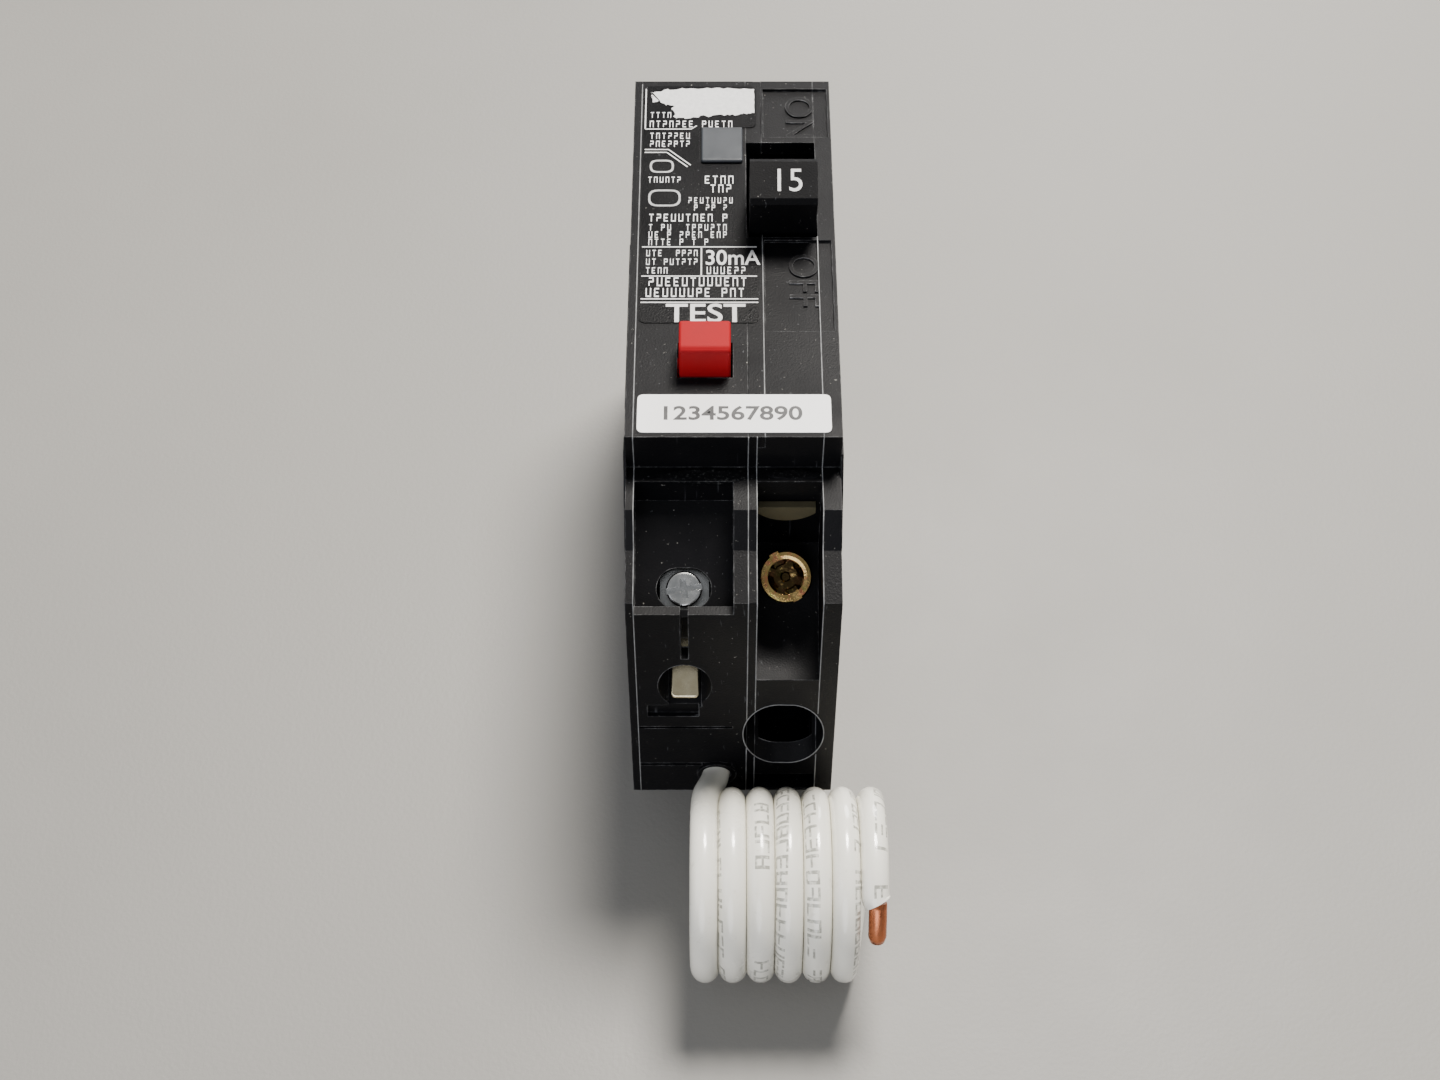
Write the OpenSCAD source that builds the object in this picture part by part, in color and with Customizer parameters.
// Plug-on ground-fault circuit breaker, one pole, one inch wide.
// It stands on its mounting back (z = 0) with the handle and the label up.
// +X is the breaker side, -X the ground-fault side, -Y the load end, +Y the line end.

/* [Case] */
// Length of the case from line end to load end
case_l = 78.4; // [76:0.2:96]
// Width over the raised side pads
case_w = 25.4; // [25:0.2:31]
// Height of the face above the mounting back
face_z = 60.2; // [58:0.2:73]
// How far the side pads stand proud of the covers
side_pad = 0.25; // [0.1:0.05:0.4]
// Thickness of the thin cover on the ground-fault side
left_cover_t = 0.95; // [0.8:0.05:1.4]
// Thickness of the cover on the breaker side
right_cover_t = 2.15; // [1.6:0.05:2.6]
// Thickness of the plate between the two halves
partition_t = 1.0; // [0.8:0.1:1.3]
// Thickness of the end walls
wall = 1.9; // [1.4:0.1:2.4]
// Thickness of the face
roof = 2.0; // [1.4:0.1:2.6]
// Radius of the case rivets
rivet_r = 1.5; // [1.2:0.1:1.8]

/* [Handle] */
// Width of the handle across the breaker
handle_w = 8.1; // [6.6:0.1:8.2]
// Height of the handle above the face
handle_h = 9.2; // [7:0.1:12]
// Thickness of the handle tip
handle_t = 6; // [5:0.1:6.6]
// Lean of the handle to each side of upright
handle_lean = 19; // [14:1:20]
// Radius of the handle pin
handle_pin_r = 1.5; // [1.2:0.1:2]

/* [Test button] */
// Width of the test button
button_w = 6; // [5:0.1:6.4]
// Length of the test button along the case
button_l = 4.8; // [4:0.1:6]
// Height of the test button above the face
button_h = 4.7; // [3:0.1:6]
// How far the button travels
button_travel = 1.5; // [0.8:0.1:1.8]

/* [Terminals] */
// Radius of the hot wire bore
hot_bore_r = 2.5; // [2:0.1:2.7]
// Radius of the neutral wire bore
neutral_bore_r = 1.9; // [1.5:0.1:2]
// Radius of the hot screw head
hot_head_r = 3.15; // [2.8:0.05:3.3]
// Radius of the neutral screw head
neutral_head_r = 2.1; // [1.8:0.05:2.3]

/* [Line jaw] */
// Thickness of the copper of the jaw
jaw_t = 1.2; // [0.8:0.1:1.4]
// Gap that the jaw leaves for the bus blade
jaw_gap = 1.6; // [1.2:0.1:2.4]
// Width of the slot in the case for the bus blade
slot_w = 6; // [5:0.2:7]

/* [Pigtail] */
// Outer diameter of the pigtail's insulation
cord_d = 3.4; // [3:0.1:3.6]
// Diameter of its bare copper core
core_d = 2.2; // [1.8:0.1:2.4]

/* [Hidden] */
$fn = 48;

eps = 0.05;
over = 1;                 // how far a cut runs past the face that it opens
gap = 0.25;               // clearance between pieces that move or drop in
fit = 0.05;               // running clearance round a pin

// Where the layers meet across the width
x_left = -case_w / 2 + side_pad;
x_gfci = x_left + left_cover_t;
x_mid = 1.7;
x_room = x_mid + partition_t;
x_right = case_w / 2 - side_pad;
x_cover = x_right - right_cover_t;
gfci_wall = 1.7;                        // wall of the left half beside the partition
x_well = x_mid - gfci_wall;             // right side of the ground-fault room
x_breaker = 6.2;                        // middle of the breaker mechanism
flange_x = x_mid + 1.9;                 // edge of the partition's flange at the face

// Stations along the length and the height
line_y = case_l / 2;
load_y = -case_l / 2;
foot_y = load_y + 9.2;
foot_z = 12.9;
step_y = load_y + 19.9;
ledge_z = face_z - 5.7;
crest_y = load_y + 13.8;
brow_y = load_y + 10.9;
brow_z = face_z - 9.7;
nose_y = load_y + 4.7;
nose_z = face_z - 11.3;
well_y = load_y + 17.8;                 // back wall of both terminal wells
room_y0 = step_y + wall;
room_y1 = line_y - wall;
room_z0 = 2;
room_z1 = face_z - roof;
notch_z = [4.1, 8.8];                   // rail notch in the foot
notch_y = foot_y + 6.2;
low_slot_y = load_y + 3.4;              // slot low in the load end, beside the pigtail
low_slot_z = [foot_z + 0.4, foot_z + 3.4];
panel_depth = 0.4;
film_t = 0.12;                          // thickness of the label and the sticker
rivets = [[line_y - 3.9, face_z - 5.6], [line_y - 3.9, 5.2], [load_y + 19, 4.6],
    [room_y0 + 2.8, room_z1 - 3.2]];
boss_r = rivet_r + 1.5;
rivet_head_r = rivet_r + 1.2;
rivet_head_t = 0.5;

// Blade slot and jaw at the line end
slot_y = line_y - 12.2;
web_y = line_y - 34.2;
web_t = 0.45;
web_top = 33;
slot_z = 14.4;
shelf_z = 16;
shelf_y = slot_y - 6;

// Handle
handle_y = line_y - 19.9;
handle_z = face_z - 10.2;
handle_slot = 16;
barrel_r = 7.8;
handle_x0 = x_mid + 0.3;
handle_gap = 0.15;

// Contact arm: it hangs from its hub and swings toward the line end when the handle is on
arm_y = handle_y - 3.3;
arm_z = 37.5;
arm_len = 19;
arm_off = 17.7;
arm_on = 37.7;
arm_w = 3.6;
arm_t = 1.8;
arm_pin_r = 1.2;
contact_r = 1.7;
contact_t = 1.2;
contact_gap = 0.3;

// Trip parts
cradle_y = handle_y - 13.3;
cradle_z = face_z - 14.2;
cradle_x = x_room + 0.5;
cradle_t = 1.6;
cradle_pin_r = 1.2;
spring_x = x_cover - 1;
sleeve_l = 13;
bimetal_y = cradle_y - 12.6;
bimetal_x = [4.5, 8.5];
armature_y = cradle_y - 8.9;
armature_z = 34.5;
link_y = cradle_y - 9;
link_z = 14.5;
link_r = 2.2;
link_pin_r = 1;

// Terminals: each screw leans out toward the load end
hot_x = 6.2;
hot_y = load_y + 11.6;
hot_z = face_z - 16.2;
hot_tilt = 35;
hot_depth = 9.6;                        // wire axis below the top of the head
hot_half = 3.1;                         // half the lug's width
hot_thread_r = 1.9;
mouth_r = 4.25;                         // oval mouth of the hot wire's way: radius of its ends,
mouth_half = 0.65;                      // half the flat stretch between them,
mouth_drop = 10.2;                      // and its middle below the top of the head
mouth_y = 13.5;
wire_reach = 28;                        // the wires' ways are cut this far out from their screws
seat_gap = 0.15;                        // clearance of a lug in its seat
hollow_side = 0.5;                      // walls beside the hollow behind the mouth
hollow_z = [17.6, 32.6];
hot_lug_y = 4.5;
hot_lug_z = [-15, -6];
hot_head_t = 2.2;
hot_screw_l = 6.25;
neutral_way_r = 3.2;
neutral_lug_y = 3.6;
neutral_lug_z = [-10.2, -4.1];
tongue_half = 1.8;
tongue_l = 12.6;                        // the brass lip comes this far out from the screw
tongue_t = 0.7;
tongue_end_r = 0.7;
neutral_head_t = 1.6;
neutral_screw_l = 4.35;
foot_gap = 0.05;                        // between a screw's tip and its clamping foot
neutral_x = -5.75;
neutral_y = load_y + 9;
neutral_z = face_z - 14.8;
neutral_tilt = 30;
neutral_depth = 6.9;
neutral_half = 2.9;
neutral_thread_r = 1.4;
hot_lip = face_z - 25.2;                // lower edge of the open front of the hot well
neutral_lip = face_z - 13.3;
strap_z = face_z - 11.3;                // underside of the load strap
strap_t = 1.2;

// Ground-fault room
board_x = -2.6;
board_t = 1.6;
stand_off = 0.1;                        // parts stand this far off the board
board_y = [line_y - 53.2, line_y - 5.2];
board_z = [18, 44];
coil_x = -6;
coil_y = link_y - 6.6;
coil_z = [3.4, 8.4];
winding_r = 4.2;
plunger_r = 1.6;
plunger_head = [13.9, 14.9];
plunger_travel = 2.2;

// Test button and indicator
button_x = -3.3;
button_y = load_y + 31.2;
button_floor = room_z1 - 2.2;
spring_floor = room_z1 - 10.2;
window_x = [-3.9, 1.3];
window_t = 0.55;
window_y = [line_y - 15.5, line_y - 9.6];

// Pigtail: it leaves the load end and lies on the surface as a round coil of seven turns
cord_r = cord_d / 2;
cord_x = -1.95;
cord_z = 16.4;
coil_od = 24;
turn_r = (coil_od - cord_d) / 2;
pig_y = -51.8;
pig_z = coil_od / 2;
pig_x0 = -5.2;
pig_turns = 6;
// Route from inside the load end to the first turn, and of the last turn's free end
exit_route = [[-1.95, -33, 16.4], [-1.95, -36, 16.4], [-1.95, -38.5, 16.5], [-2, -40.4, 16.9]];
tail_x = 17.2;
tail_arc = [-20, 128];
copper_arc = [128, 156];

// A profile drawn in Y and Z, extruded along X from x0 to x1
module slab(x0, x1) {
    translate([x0, 0, 0]) rotate([90, 0, 90]) linear_extrude(x1 - x0) children();
}

// A box from its low corner to its high corner
module block(a, b) {
    translate(a) cube([b[0] - a[0], b[1] - a[1], b[2] - a[2]]);
}

// A round bar along X
module bar(x0, x1, y, z, r) {
    translate([x0, y, z]) rotate([0, 90, 0]) cylinder(r = r, h = x1 - x0);
}

// The lean of the load end's front below the nose
function front_y(z) = nose_y - (nose_z - z) * (nose_y - load_y) / (nose_z - foot_z);

// The outline of the case seen from its side, with the rail notch in its foot
module outline() {
    polygon([[load_y, foot_z], [nose_y, nose_z], [brow_y, brow_z], [crest_y, ledge_z],
        [step_y, ledge_z], [step_y, face_z], [line_y - 0.9, face_z], [line_y, face_z - 0.9],
        [line_y, 1.2], [line_y - 1.2, 0], [foot_y + 1, 0], [foot_y, 1], [foot_y, notch_z[0]],
        [notch_y, notch_z[0]], [notch_y, notch_z[1]], [foot_y, notch_z[1]], [foot_y, foot_z]]);
}

module blade_slot(x0, x1) {
    block([x0, slot_y - slot_w / 2, -1], [x1, slot_y + slot_w / 2, slot_z]);
}

module rivet_holes(x0, x1, r) {
    for (p = rivets) bar(x0, x1, p[0], p[1], r);
}

// Frames of the two terminals: local z runs out of the screw, local y runs in along the wire
module at_hot() {
    translate([hot_x, hot_y, hot_z]) rotate([hot_tilt, 0, 0]) children();
}

module at_neutral() {
    translate([neutral_x, neutral_y, neutral_z]) rotate([neutral_tilt, 0, 0]) children();
}

module centre_box(x, y, z) {
    block([-x, y[0], z[0]], [x, y[1], z[1]]);
}

// A round way along local y at a depth below the head, from y0 to y1
module wire_way(depth, r, y0, y1) {
    translate([0, y0, -depth]) rotate([-90, 0, 0]) cylinder(r = r, h = y1 - y0);
}

// The oval mouth of the hot wire's way in the load end
module hot_mouth() {
    for (x = [-mouth_half, mouth_half]) translate([x, 0, 0])
        wire_way(mouth_drop, mouth_r, -wire_reach, -mouth_y);
    centre_box(mouth_half, [-wire_reach, -mouth_y], [-mouth_drop - mouth_r, -mouth_drop + mouth_r]);
}

// Shallow panels in the face that carry the raised words
module face_panels() {
    block([3.9, line_y - 10.9, face_z - panel_depth], [x_right - 0.4, line_y - 2.3, face_z + over]);
    block([flange_x + 0.2, line_y - 42.8, face_z - panel_depth],
        [x_right - 0.5, line_y - 28.4, face_z + over]);
}

// The raised pad on a side cover, with round lower corners
module side_pad_shape() {
    pad_z = [face_z - 21.5, face_z - 3.4];
    pad_y = [load_y + 13.2, line_y - 26];
    round_r = 3;
    polygon([[pad_y[0], pad_z[1] - 9], [pad_y[0] + 6.8, pad_z[1]], [pad_y[1], pad_z[1]],
        [pad_y[1], pad_z[0]],
        for (a = [-90:-15:-180]) [pad_y[0] + round_r * (1 + cos(a)), pad_z[0] + round_r * (1 + sin(a))]]);
}

module gfci_cover() color([0.09, 0.09, 0.1]) difference() {
    union() {
        slab(x_left, x_gfci) outline();
        slab(x_left - side_pad, x_left + eps) side_pad_shape();
    }
    blade_slot(x_left - over, x_gfci + over);
    rivet_holes(x_left - over, x_gfci + over, rivet_r + fit);
    rivet_holes(x_left - over, x_left + rivet_head_t, rivet_head_r + fit);
}

module gfci_housing() color([0.11, 0.11, 0.12]) difference() {
    slab(x_gfci, x_mid) outline();
    difference() {
        slab(x_gfci - over, x_well) polygon([[room_y0, room_z0], [shelf_y, room_z0],
            [shelf_y, shelf_z], [room_y1, shelf_z], [room_y1, room_z1], [room_y0, room_z1]]);
        rivet_holes(x_gfci, x_well, boss_r);
    }
    // Terminal well, its oval screw hole, the lug's seat and the wire way
    slab(x_gfci - over, x_well) polygon([[well_y, face_z + 2], [well_y, neutral_z + 5.4],
        [neutral_y - 3.4, neutral_z - 1.6], [neutral_y - 3.4, neutral_lip],
        [load_y - over, neutral_lip], [load_y - over, face_z + 2]]);
    at_neutral() {
        for (x = [-0.8, 0.8]) translate([x, 0, -3]) cylinder(r = 2.4, h = 5);
        centre_box(0.8, [-2.4, 2.4], [-3, 2]);
        centre_box(neutral_half + seat_gap, [-neutral_lug_y - seat_gap, neutral_lug_y + seat_gap],
            [neutral_lug_z[0] - seat_gap, -1.9]);
        wire_way(neutral_depth, neutral_way_r, -wire_reach, 0);
        centre_box(tongue_half + 0.2, [-16, -3], [-neutral_depth - neutral_way_r, -neutral_depth]);
    }
    block([neutral_x - 0.4, load_y - over, neutral_lip - 8],
        [neutral_x + 0.5, neutral_y - 3, neutral_lip + over]);
    // Room behind the lower front for the pigtail, and its way out
    block([x_gfci - over, load_y + 4.4, foot_z + 1.6], [x_well, room_y0 + eps, neutral_lip - 20.4]);
    translate([cord_x, load_y - over, cord_z]) rotate([-90, 0, 0]) cylinder(r = cord_r + 0.75, h = 8);
    // Shallow marks in the lower front
    for (z = [[18.1, 18.6], [25.6, 26]])
        block([x_gfci, load_y - over, z[0]], [x_well, front_y(z[0]) + 0.35, z[1]]);
    block([-10.3, load_y - over, 28], [-4.1, front_y(29) + 0.5, 30.2]);
    // Holes in the face for the button and the indicator, and the link's way through
    block([button_x - button_w / 2 - gap, button_y - button_l / 2 - gap, room_z1 - over],
        [button_x + button_w / 2 + gap, button_y + button_l / 2 + gap, face_z + over]);
    block([window_x[0] + 0.5, window_y[0] + 0.6, room_z1 - over],
        [x_well - 0.1, window_y[1] - 0.6, face_z + over]);
    bar(x_well - over, x_mid + over, link_y, link_z, link_r + 0.5);
    blade_slot(x_gfci - over, x_mid + over);
    rivet_holes(x_gfci - over, x_mid + over, rivet_r + fit);
    // Left edge of the hot wire's oval mouth
    at_hot() hot_mouth();
}

module partition_plate() color([0.13, 0.13, 0.14]) difference() {
    union() {
        slab(x_mid, x_room) outline();
        block([x_room - eps, step_y, room_z1], [flange_x, line_y - 0.9, face_z]);
    }
    block([x_mid - over, handle_y - handle_slot / 2, room_z1 - 10],
        [flange_x + over, handle_y + handle_slot / 2, face_z + over]);
    bar(x_mid - over, x_room + over, link_y, link_z, link_r + 0.5);
    blade_slot(x_mid - over, x_room + over);
    rivet_holes(x_mid - over, x_room + over, rivet_r + fit);
    at_hot() hot_mouth();
    block([x_mid - over, load_y - over, low_slot_z[0]], [x_room + over, low_slot_y, low_slot_z[1]]);
    face_panels();
}

module breaker_frame() color([0.1, 0.1, 0.11]) difference() {
    slab(x_room, x_cover) outline();
    difference() {
        block([x_room - over, room_y0, room_z0], [x_cover + over, room_y1, room_z1]);
        rivet_holes(x_room, x_cover, boss_r);
        // A thin web on the partition's side holds the two ends together
        block([x_room, web_y, 0], [x_room + web_t, line_y, web_top]);
    }
    // The partition's flange takes the left strip of the face
    block([x_room - over, step_y - over, room_z1], [flange_x, line_y + over, face_z + over]);
    // Hot well, the lug's seat and the wire way
    slab(x_room - over, x_cover + over) polygon([[well_y, face_z + 2], [well_y, hot_z - 1.8],
        [hot_y - 0.6, hot_z - 7], [nose_y + 1.5, hot_lip], [load_y - over, hot_lip],
        [load_y - over, face_z + 2]]);
    at_hot() {
        centre_box(hot_half + seat_gap, [-hot_lug_y - seat_gap, hot_lug_y + seat_gap],
            [hot_lug_z[0] - seat_gap, hot_lug_z[1] + seat_gap]);
        translate([0, 0, hot_lug_z[1] - over]) cylinder(r = hot_thread_r + 0.4, h = 3);
        hot_mouth();
        wire_way(hot_depth, hot_bore_r + 0.7, -mouth_y - over, -2);
    }
    // Hollow behind the lower front, which the oval mouth opens into
    slab(x_room + hollow_side, x_cover - hollow_side) polygon([
        [front_y(hollow_z[0]) + wall, hollow_z[0]], [front_y(hollow_z[1]) + wall, hollow_z[1]],
        [hot_y - 1.4, hollow_z[1]], [hot_y - 1.4, hollow_z[0]]]);
    // Slot low in the load end, strap's way through the well's back wall
    block([x_room - over, load_y - over, low_slot_z[0]], [x_cover + over, low_slot_y, low_slot_z[1]]);
    block([3.2, well_y - over, strap_z - 0.2], [9.2, room_y0 + over, strap_z + 1.6]);
    // Handle slot, calibration screw, blade slot
    block([x_room - over, handle_y - handle_slot / 2, room_z1 - over],
        [x_cover + over, handle_y + handle_slot / 2, face_z + over]);
    translate([x_breaker + 0.3, bimetal_y + 0.5, -1]) cylinder(r = 1.6 + fit, h = 4);
    blade_slot(x_room - over, x_cover + over);
    rivet_holes(x_room - over, x_cover + over, rivet_r + fit);
    face_panels();
}

module breaker_cover() color([0.1, 0.1, 0.11]) difference() {
    union() {
        slab(x_cover, x_right) outline();
        slab(x_right - eps, x_right + side_pad) side_pad_shape();
    }
    blade_slot(x_cover - over, x_right + over);
    rivet_holes(x_cover - over, x_right + over, rivet_r + fit);
    rivet_holes(x_right - rivet_head_t, x_right + over, rivet_head_r + fit);
    at_hot() hot_mouth();
    face_panels();
    // Where a wide handle or a thick cover would meet, the handle's slot goes on into the cover
    block([x_cover - over, handle_y - handle_slot / 2, handle_z],
        [handle_x0 + handle_w + handle_gap, handle_y + handle_slot / 2, face_z + over]);
}

module case_rivets() color([0.72, 0.7, 0.62]) for (p = rivets) {
    bar(x_left, x_right, p[0], p[1], rivet_r);
    bar(x_left, x_left + rivet_head_t, p[0], p[1], rivet_head_r);
    bar(x_right - rivet_head_t, x_right, p[0], p[1], rivet_head_r);
}

// The handle leans toward the load end at rest, which is off
module handle() color([0.08, 0.08, 0.09]) translate([0, handle_y, handle_z]) difference() {
    half = handle_t / 2;
    top = face_z - handle_z + handle_h;
    root = 6.6;
    taper = 0.7;
    edge = 0.6;
    rotate([handle_lean, 0, 0]) {
        bar(x_room + 0.3, x_cover - 0.3, 0, 0, barrel_r);
        slab(handle_x0, handle_x0 + handle_w) polygon([[-half - taper, root], [half + taper, root],
            [half, top - edge], [half - edge, top], [-half + edge, top], [-half, top - edge]]);
    }
    bar(0, x_cover + over, 0, 0, handle_pin_r + fit);
}

module handle_pin() color("silver") bar(x_room, x_cover, handle_y, handle_z, handle_pin_r);

module at_arm(angle) {
    translate([x_breaker + 0.3, arm_y, arm_z]) rotate([angle, 0, 0]) children();
}

module contact_arm() color([0.75, 0.45, 0.25]) at_arm(arm_off) difference() {
    union() {
        bar(-arm_t / 2 - 0.4, arm_t / 2 + 0.4, 0, 0, 3);
        centre_box(arm_t / 2, [-arm_w / 2, arm_w / 2], [-arm_len - 1.8, 0]);
        centre_box(arm_t / 2, [arm_w / 2 - 0.6, arm_w / 2], [-arm_len - 1.8, -arm_len + 4]);
    }
    bar(-5, 5, 0, 0, arm_pin_r + fit);
}

module moving_contact() color([0.82, 0.82, 0.8]) at_arm(arm_off)
    translate([0, arm_w / 2, -arm_len]) rotate([-90, 0, 0]) cylinder(r = contact_r, h = contact_t);

module arm_pin() color("silver")
    bar(x_room, x_breaker + 1.9, arm_y, arm_z, arm_pin_r);

module stationary_contact() color([0.82, 0.82, 0.8]) at_arm(arm_on)
    translate([0, arm_w / 2 + contact_t + contact_gap, -arm_len]) rotate([-90, 0, 0])
        cylinder(r = contact_r, h = contact_t);

module line_strap() color([0.75, 0.45, 0.25]) {
    back = arm_w / 2 + 2 * contact_t + contact_gap;
    at_arm(arm_on) centre_box(2, [back, back + 1.2], [-arm_len - 3, -arm_len + 3]);
    foot = line_y - 6.6;
    block([x_breaker - 1.7, foot, shelf_z + 0.2], [x_breaker + 2.3, foot + 1.2, 24.4]);
}

// The jaw in Y and Z: its legs lean in to the blade and flare at the mouth
module stab_jaw() color([0.78, 0.5, 0.3]) translate([0, slot_y, 0]) {
    pinch = jaw_gap / 2;
    inner = [[3.1, 2.4], [pinch, 8], [5.2, 15]];
    outer = [[5.2 + jaw_t, shelf_z + 0.2], [5.2 + jaw_t, 14.6], [pinch + 1.1 * jaw_t, 8],
        [3.1 + jaw_t, 2.4]];
    slab(x_breaker - 3, x_breaker + 3.4) polygon([
        for (p = inner) p, for (i = [2:-1:0]) [-inner[i][0], inner[i][1]],
        for (i = [3:-1:0]) [-outer[i][0], outer[i][1]], for (p = outer) p]);
}

// A steel clip round the outside of the jaw keeps its legs closed
module jaw_spring() color([0.55, 0.56, 0.58]) translate([0, slot_y, 0])
    for (s = [-1, 1]) slab(x_breaker - 1.8, x_breaker + 2.2)
        polygon([[s * (6.6 + jaw_t), 12.5], [s * (2.3 + jaw_t), 8.2], [s * (3.1 + jaw_t), 6.4],
            [s * (4 + jaw_t), 6.4], [s * (3.2 + jaw_t), 8.2], [s * (7.4 + jaw_t), 12.3]]);

module cradle() color([0.6, 0.6, 0.58]) difference() {
    translate([0, cradle_y, cradle_z]) {
        bar(cradle_x, cradle_x + cradle_t + 0.6, 0, 0, 2.8);
        slab(cradle_x, cradle_x + cradle_t) polygon([[1.5, 2.2], [-2.6, 1], [-8.4, -9.4],
            [-7.4, -10.8], [-5.6, -9.8], [-2.2, -4.6], [1.2, -2.6], [3, -2.2], [3.4, 0]]);
        bar(cradle_x, spring_x + 0.8, 2, -1, 0.8);
    }
    bar(cradle_x - 1, cradle_x + 4, cradle_y, cradle_z, cradle_pin_r + fit);
}

module cradle_pin() color("silver")
    bar(x_room, cradle_x + cradle_t + 1, cradle_y, cradle_z, cradle_pin_r);

// A tension spring, drawn as its outer sleeve, from the cradle's post toward the arm
module operating_spring() color([0.5, 0.5, 0.52])
    translate([spring_x, cradle_y + 2.9, cradle_z - 1.9]) rotate([-142, 0, 0]) difference() {
        cylinder(r = 0.8, h = sleeve_l);
        translate([0, 0, 0.6]) cylinder(r = 0.35, h = sleeve_l - 1.2);
    }

module bimetal() color([0.6, 0.55, 0.5])
    block([bimetal_x[0], bimetal_y, 14], [bimetal_x[1], bimetal_y + 1, face_z - 10.4]);

module magnet_yoke() color([0.5, 0.5, 0.52]) difference() {
    block([3.3, bimetal_y - 2.2, 22], [9.7, bimetal_y + 2.4, 32]);
    block([4.3, bimetal_y - 1.1, 21], [8.7, bimetal_y + 4, 33]);
}

module armature() color([0.5, 0.5, 0.52]) {
    block([5.2, armature_y, 20], [9, armature_y + 1, armature_z]);
    bar(5.2, 9.6, armature_y + 0.5, armature_z, 0.9);
}

module calibration_screw() color([0.75, 0.65, 0.35])
    translate([x_breaker + 0.3, bimetal_y + 0.5, 0.6]) difference() {
        cylinder(r = 1.6, h = 13);
        translate([-2, -0.3, -1]) cube([4, 0.6, 1.8]);
    }

// A tube of given sides swept along a list of points
function unit(v) = v / norm(v);
function tangent(p, i) = unit(p[min(i + 1, len(p) - 1)] - p[max(i - 1, 0)]);
function ring(p, i, r, sides) = let (t = tangent(p, i), u = unit(cross(t, abs(t[0]) < 0.9
    ? [1, 0, 0] : [0, 1, 0])), v = cross(t, u))
    [for (k = [0:sides - 1]) p[i] + r * (cos(360 * k / sides) * u + sin(360 * k / sides) * v)];
module swept(p, r, sides) {
    n = len(p);
    polyhedron(points = [for (i = [0:n - 1]) each ring(p, i, r, sides)],
        faces = [[for (k = [0:sides - 1]) k],
            for (i = [0:n - 2]) for (k = [0:sides - 1]) [i * sides + k, (i + 1) * sides + k,
                (i + 1) * sides + (k + 1) % sides, i * sides + (k + 1) % sides],
            [for (k = [sides - 1:-1:0]) (n - 1) * sides + k]]);
}

module braid() color([0.78, 0.5, 0.32])
    swept([[6.5, bimetal_y + 2, 15.4], [6.5, bimetal_y + 5.6, 12.6], [6.5, bimetal_y + 9.6, 12.4],
        [6.5, bimetal_y + 13.6, 15], [6.5, arm_y - 6.2, 20], [6.5, arm_y - 4.6, 26],
        [6.5, arm_y - 4.8, 32]], 0.9, 8);

module arc_plates() color([0.55, 0.55, 0.56]) for (i = [0:5])
    block([3.4, line_y - 7.6, 29 + 2.2 * i], [9.8, line_y - 2.5, 29.9 + 2.2 * i]);

// The strap from the bimetal's head to the hot terminal shows a rounded tab in the well
module load_strap() color([0.5, 0.47, 0.33]) {
    block([3.4, well_y - 0.8, strap_z], [9, bimetal_y - 1, strap_z + strap_t]);
    block([3.9, bimetal_y - 1.2, strap_z], [8.9, bimetal_y - 0.02, strap_z + strap_t]);
    intersection() {
        translate([hot_x, well_y - 1.1, strap_z + 4]) rotate([-90, 0, 0]) cylinder(r = 4.6, h = 0.9);
        block([2.9, well_y - 2, strap_z - 1], [9.6, well_y, strap_z + 2]);
    }
    block([3.9, room_y0 + 3.4, hot_z - 5], [8.9, room_y0 + 4.6, strap_z + 0.1]);
}

module hot_lug() color([0.66, 0.62, 0.52]) at_hot() difference() {
    centre_box(hot_half, [-hot_lug_y, hot_lug_y], hot_lug_z);
    wire_way(hot_depth, hot_bore_r, -6, 6);
    translate([0, 0, -hot_depth]) cylinder(r = hot_thread_r + fit, h = 8);
}

module hot_foot() color([0.7, 0.68, 0.6]) at_hot()
    translate([0, 0, -hot_screw_l - foot_gap - 0.9]) cylinder(r = hot_thread_r - 0.15, h = 0.9);

module hot_screw() color([0.78, 0.62, 0.3]) at_hot() difference() {
    union() {
        translate([0, 0, -hot_head_t]) cylinder(r = hot_head_r, h = hot_head_t);
        translate([0, 0, -hot_screw_l]) cylinder(r = hot_thread_r, h = hot_screw_l - hot_head_t + eps);
    }
    // A ring groove and a straight slot in the head
    translate([0, 0, -0.35]) difference() {
        cylinder(r = hot_head_r - 0.55, h = 1);
        translate([0, 0, -1]) cylinder(r = hot_head_r - 0.95, h = 3);
    }
    rotate([0, 0, -40]) translate([-4, -0.5, -1.2]) cube([8, 1, 2]);
}

module neutral_lug() color([0.62, 0.6, 0.56]) at_neutral() difference() {
    centre_box(neutral_half, [-neutral_lug_y, neutral_lug_y], neutral_lug_z);
    wire_way(neutral_depth, neutral_bore_r, -6, 6);
    translate([0, 0, -neutral_depth]) cylinder(r = neutral_thread_r + fit, h = 6);
}

// A brass lip below the wire that shows in the neutral mouth
module neutral_tongue() color([0.8, 0.66, 0.36]) at_neutral()
    translate([0, 0, -neutral_depth - 2.95]) {
        centre_box(tongue_half, [-tongue_l + tongue_end_r, -neutral_lug_y - foot_gap], [0, tongue_t]);
        centre_box(tongue_half - tongue_end_r, [-tongue_l, -tongue_l + tongue_end_r], [0, tongue_t]);
        for (s = [-1, 1]) translate([s * (tongue_half - tongue_end_r), -tongue_l + tongue_end_r, 0])
            cylinder(r = tongue_end_r, h = tongue_t);
    }

module neutral_foot() color([0.7, 0.68, 0.6]) at_neutral()
    translate([0, 0, -neutral_screw_l - foot_gap - 0.6]) cylinder(r = neutral_thread_r - 0.15, h = 0.6);

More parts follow.
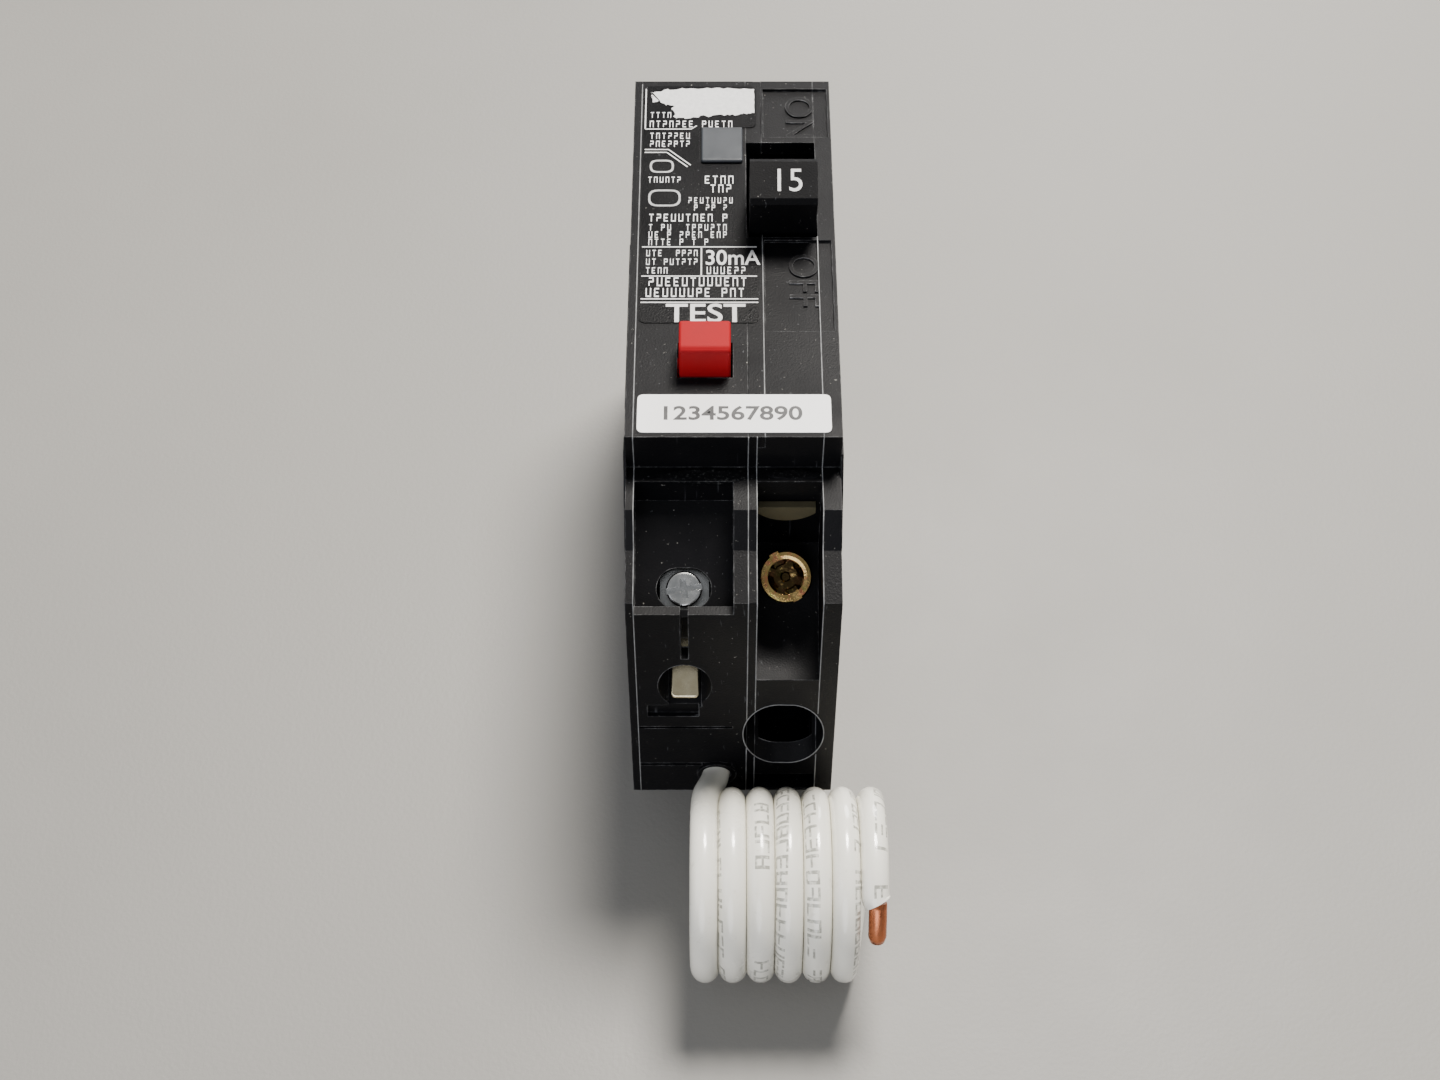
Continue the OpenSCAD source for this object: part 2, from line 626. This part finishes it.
module neutral_screw() color([0.75, 0.75, 0.74]) at_neutral() difference() {
    union() {
        translate([0, 0, -neutral_head_t]) cylinder(r = neutral_head_r, h = neutral_head_t);
        translate([0, 0, -neutral_screw_l])
            cylinder(r = neutral_thread_r, h = neutral_screw_l - neutral_head_t + eps);
    }
    rotate([0, 0, 8]) translate([-3, -0.45, -0.9]) cube([6, 0.9, 2]);
}

module circuit_board() color([0.1, 0.35, 0.2])
    block([board_x, board_y[0], board_z[0]], [board_x + board_t, board_y[1], board_z[1]]);

module toroid(y, z, r, bore, h) {
    cut = 0.6;
    translate([board_x - h - stand_off, y, z]) rotate([0, 90, 0]) rotate_extrude()
        polygon([[bore, cut], [bore + cut, 0], [r - cut, 0], [r, cut], [r, h - cut],
            [r - cut, h], [bore + cut, h], [bore, h - cut]]);
}

module sense_toroid() color([0.15, 0.3, 0.55]) toroid(line_y - 15, 31, 8, 3.6, 6.4);
module ground_toroid() color([0.2, 0.45, 0.3]) toroid(line_y - 32, 36, 5.6, 2.6, 4.6);
module ic_chip() color([0.12, 0.12, 0.12])
    block([board_x - 1.9, board_y[0] + 6, 32], [board_x - stand_off, board_y[0] + 12.4, 38]);
module scr() color([0.12, 0.12, 0.12])
    block([board_x - 3.6, board_y[0] + 1, 38.6], [board_x - stand_off, board_y[0] + 4.6, 43]);
module capacitors() color([0.2, 0.25, 0.5])
    for (y = [4, 11.4]) bar(board_x - 6.6, board_x - stand_off, board_y[0] + y, 24.6, 3);
module resistors() color([0.75, 0.65, 0.5]) for (i = [0:3])
    translate([board_x - 1.2, board_y[0] + 18, 20.4 + 2.4 * i]) rotate([-90, 0, 0])
        cylinder(r = 0.9, h = 5.4);
module varistor() color([0.2, 0.35, 0.65]) 
    bar(board_x - 3.4, board_x - stand_off, board_y[0] + 27, 24, 2.9);

module solenoid_coil() color([0.72, 0.42, 0.2]) translate([coil_x, coil_y, 0]) difference() {
    translate([0, 0, coil_z[0]]) cylinder(r = winding_r, h = coil_z[1] - coil_z[0]);
    translate([0, 0, coil_z[0] - 1]) cylinder(r = plunger_r + 0.3, h = 8);
}

module solenoid_frame() color([0.6, 0.6, 0.62]) translate([coil_x, coil_y, 0]) difference() {
    centre_box(4.5, [-5.2, 5.2], [coil_z[0] - 1, coil_z[1] + 1]);
    centre_box(6, [-4.3, 4.3], [coil_z[0] - 0.05, coil_z[1] + 0.05]);
    translate([0, 0, coil_z[1] - 1]) cylinder(r = plunger_r + fit, h = 4);
}

module plunger() color([0.7, 0.7, 0.72]) translate([coil_x, coil_y, 0]) {
    translate([0, 0, coil_z[0] + plunger_travel + 0.3])
        cylinder(r = plunger_r, h = plunger_head[0] - coil_z[0] - plunger_travel - 0.2);
    translate([0, 0, plunger_head[0]]) cylinder(r = 2.4, h = plunger_head[1] - plunger_head[0]);
}

module plunger_spring() color([0.75, 0.75, 0.75]) translate([coil_x, coil_y, coil_z[1] + 1])
    difference() {
        cylinder(r = plunger_r + 0.35, h = plunger_head[0] - coil_z[1] - 1);
        translate([0, 0, -1]) cylinder(r = plunger_r + 0.08, h = 9);
    }

module trip_link() color([0.85, 0.82, 0.72]) difference() {
    union() {
        bar(-8.9, 4.9, link_y, link_z, link_r);
        block([-8.9, coil_y - 1.2, link_z - link_r], [-8.45, link_y, link_z - 0.6]);
        bar(-8.9, -8, coil_y, plunger_head[0] - 0.6, 0.45);
        block([3.2, link_y - 0.4, link_z], [4.8, link_y + 1.2, link_z + 6]);
        block([3.2, link_y - 0.4, link_z + 5], [4.8, link_y + 4.7, link_z + 6.5]);
        block([3.2, link_y + 3.7, link_z + 5], [8, link_y + 4.7, link_z + 7]);
    }
    bar(-10, 6, link_y, link_z, link_pin_r + fit);
}

module link_pin() color("silver") bar(x_gfci, 5.2, link_y, link_z, link_pin_r);

module test_button() color([0.72, 0.09, 0.09]) {
    x0 = button_x - button_w / 2;
    y0 = button_y - button_l / 2;
    top = face_z + button_h;
    edge = 0.5;
    lip = 1;
    slab(x0, x0 + button_w) polygon([[y0, button_floor], [y0 + button_l, button_floor],
        [y0 + button_l, top - edge], [y0 + button_l - edge, top], [y0 + edge, top], [y0, top - edge]]);
    block([x0 - lip, y0 - lip, button_floor], [x0 + button_w, y0 + button_l + lip, room_z1 - 0.1]);
}

module test_spring() color("silver") translate([button_x, button_y, spring_floor]) difference() {
    cylinder(r = 1.9, h = button_floor - spring_floor);
    translate([0, 0, -1]) cylinder(r = 1.4, h = 12);
}

module test_contact() color([0.8, 0.62, 0.32])
    block([button_x - 2.6, button_y - 2.6, spring_floor - 1], [button_x + 2.6, button_y + 2.6, spring_floor]);

module indicator_window() color([0.45, 0.46, 0.47]) {
    block([window_x[0], window_y[0], face_z], [window_x[1], window_y[1], face_z + window_t]);
    block([window_x[0] + 0.6, window_y[0] + 0.7, room_z1], [x_well - 0.2, window_y[1] - 0.7, face_z + eps]);
}

module indicator_flag() color([0.85, 0.35, 0.1])
    block([window_x[0] + 0.4, window_y[0] - 6, room_z1 - 1.4],
        [x_well - 0.4, window_y[0] + 0.6, room_z1 - 0.5]);

module nameplate_label() color([0.05, 0.05, 0.06]) {
    difference() {
        block([x_gfci + 0.3, line_y - 41.6, face_z], [flange_x - 0.5, line_y - 1.9, face_z + film_t]);
        block([x_mid - 0.2, handle_y - handle_slot / 2 - 0.4, face_z - over],
            [flange_x + over, handle_y + handle_slot / 2 + 0.4, face_z + over]);
        block([window_x[0] - 0.2, window_y[0] - 0.2, face_z - over],
            [flange_x + over, window_y[1] + 0.2, face_z + over]);
    }
}

module serial_sticker() color([0.9, 0.9, 0.88])
    block([x_gfci + 0.45, step_y + 0.6, face_z], [x_cover + 0.9, step_y + 6.1, face_z + film_t]);

module pigtail_grommet() color([0.12, 0.12, 0.12])
    translate([cord_x, front_y(cord_z) - 0.1, cord_z]) rotate([-90, 0, 0]) difference() {
        cylinder(r = cord_r + 0.7, h = 4);
        translate([0, 0, -1]) cylinder(r = cord_r + 0.05, h = 6);
    }

function arc_route(x, from, to, n) = [for (i = [0:n]) let (a = from + (to - from) * i / n)
    [x, pig_y + turn_r * cos(a), pig_z + turn_r * sin(a)]];

module pigtail_tube() color([0.92, 0.92, 0.9]) swept(exit_route, cord_r, 8);

module pigtail_coil() color([0.92, 0.92, 0.9]) translate([pig_x0, pig_y, pig_z])
    rotate([0, 90, 0]) rotate_extrude() translate([coil_od / 2 - cord_d, 0])
        square([cord_d, pig_turns * cord_d]);

module pigtail_tail() color([0.92, 0.92, 0.9])
    swept(arc_route(tail_x + 0.02, tail_arc[0], tail_arc[1], 16), cord_r, 8);

module pigtail_copper() color([0.72, 0.45, 0.25])
    swept(arc_route(tail_x, copper_arc[0], copper_arc[1], 5), core_d / 2, 8);

gfci_cover();
gfci_housing();
partition_plate();
breaker_frame();
breaker_cover();
case_rivets();
handle();
handle_pin();
contact_arm();
moving_contact();
arm_pin();
stationary_contact();
line_strap();
stab_jaw();
jaw_spring();
cradle();
cradle_pin();
operating_spring();
bimetal();
magnet_yoke();
armature();
calibration_screw();
braid();
arc_plates();
load_strap();
hot_lug();
hot_foot();
hot_screw();
neutral_lug();
neutral_tongue();
neutral_foot();
neutral_screw();
circuit_board();
sense_toroid();
ground_toroid();
ic_chip();
scr();
capacitors();
resistors();
varistor();
solenoid_coil();
solenoid_frame();
plunger();
plunger_spring();
trip_link();
link_pin();
test_button();
test_spring();
test_contact();
indicator_window();
indicator_flag();
nameplate_label();
serial_sticker();
pigtail_grommet();
pigtail_tube();
pigtail_coil();
pigtail_tail();
pigtail_copper();
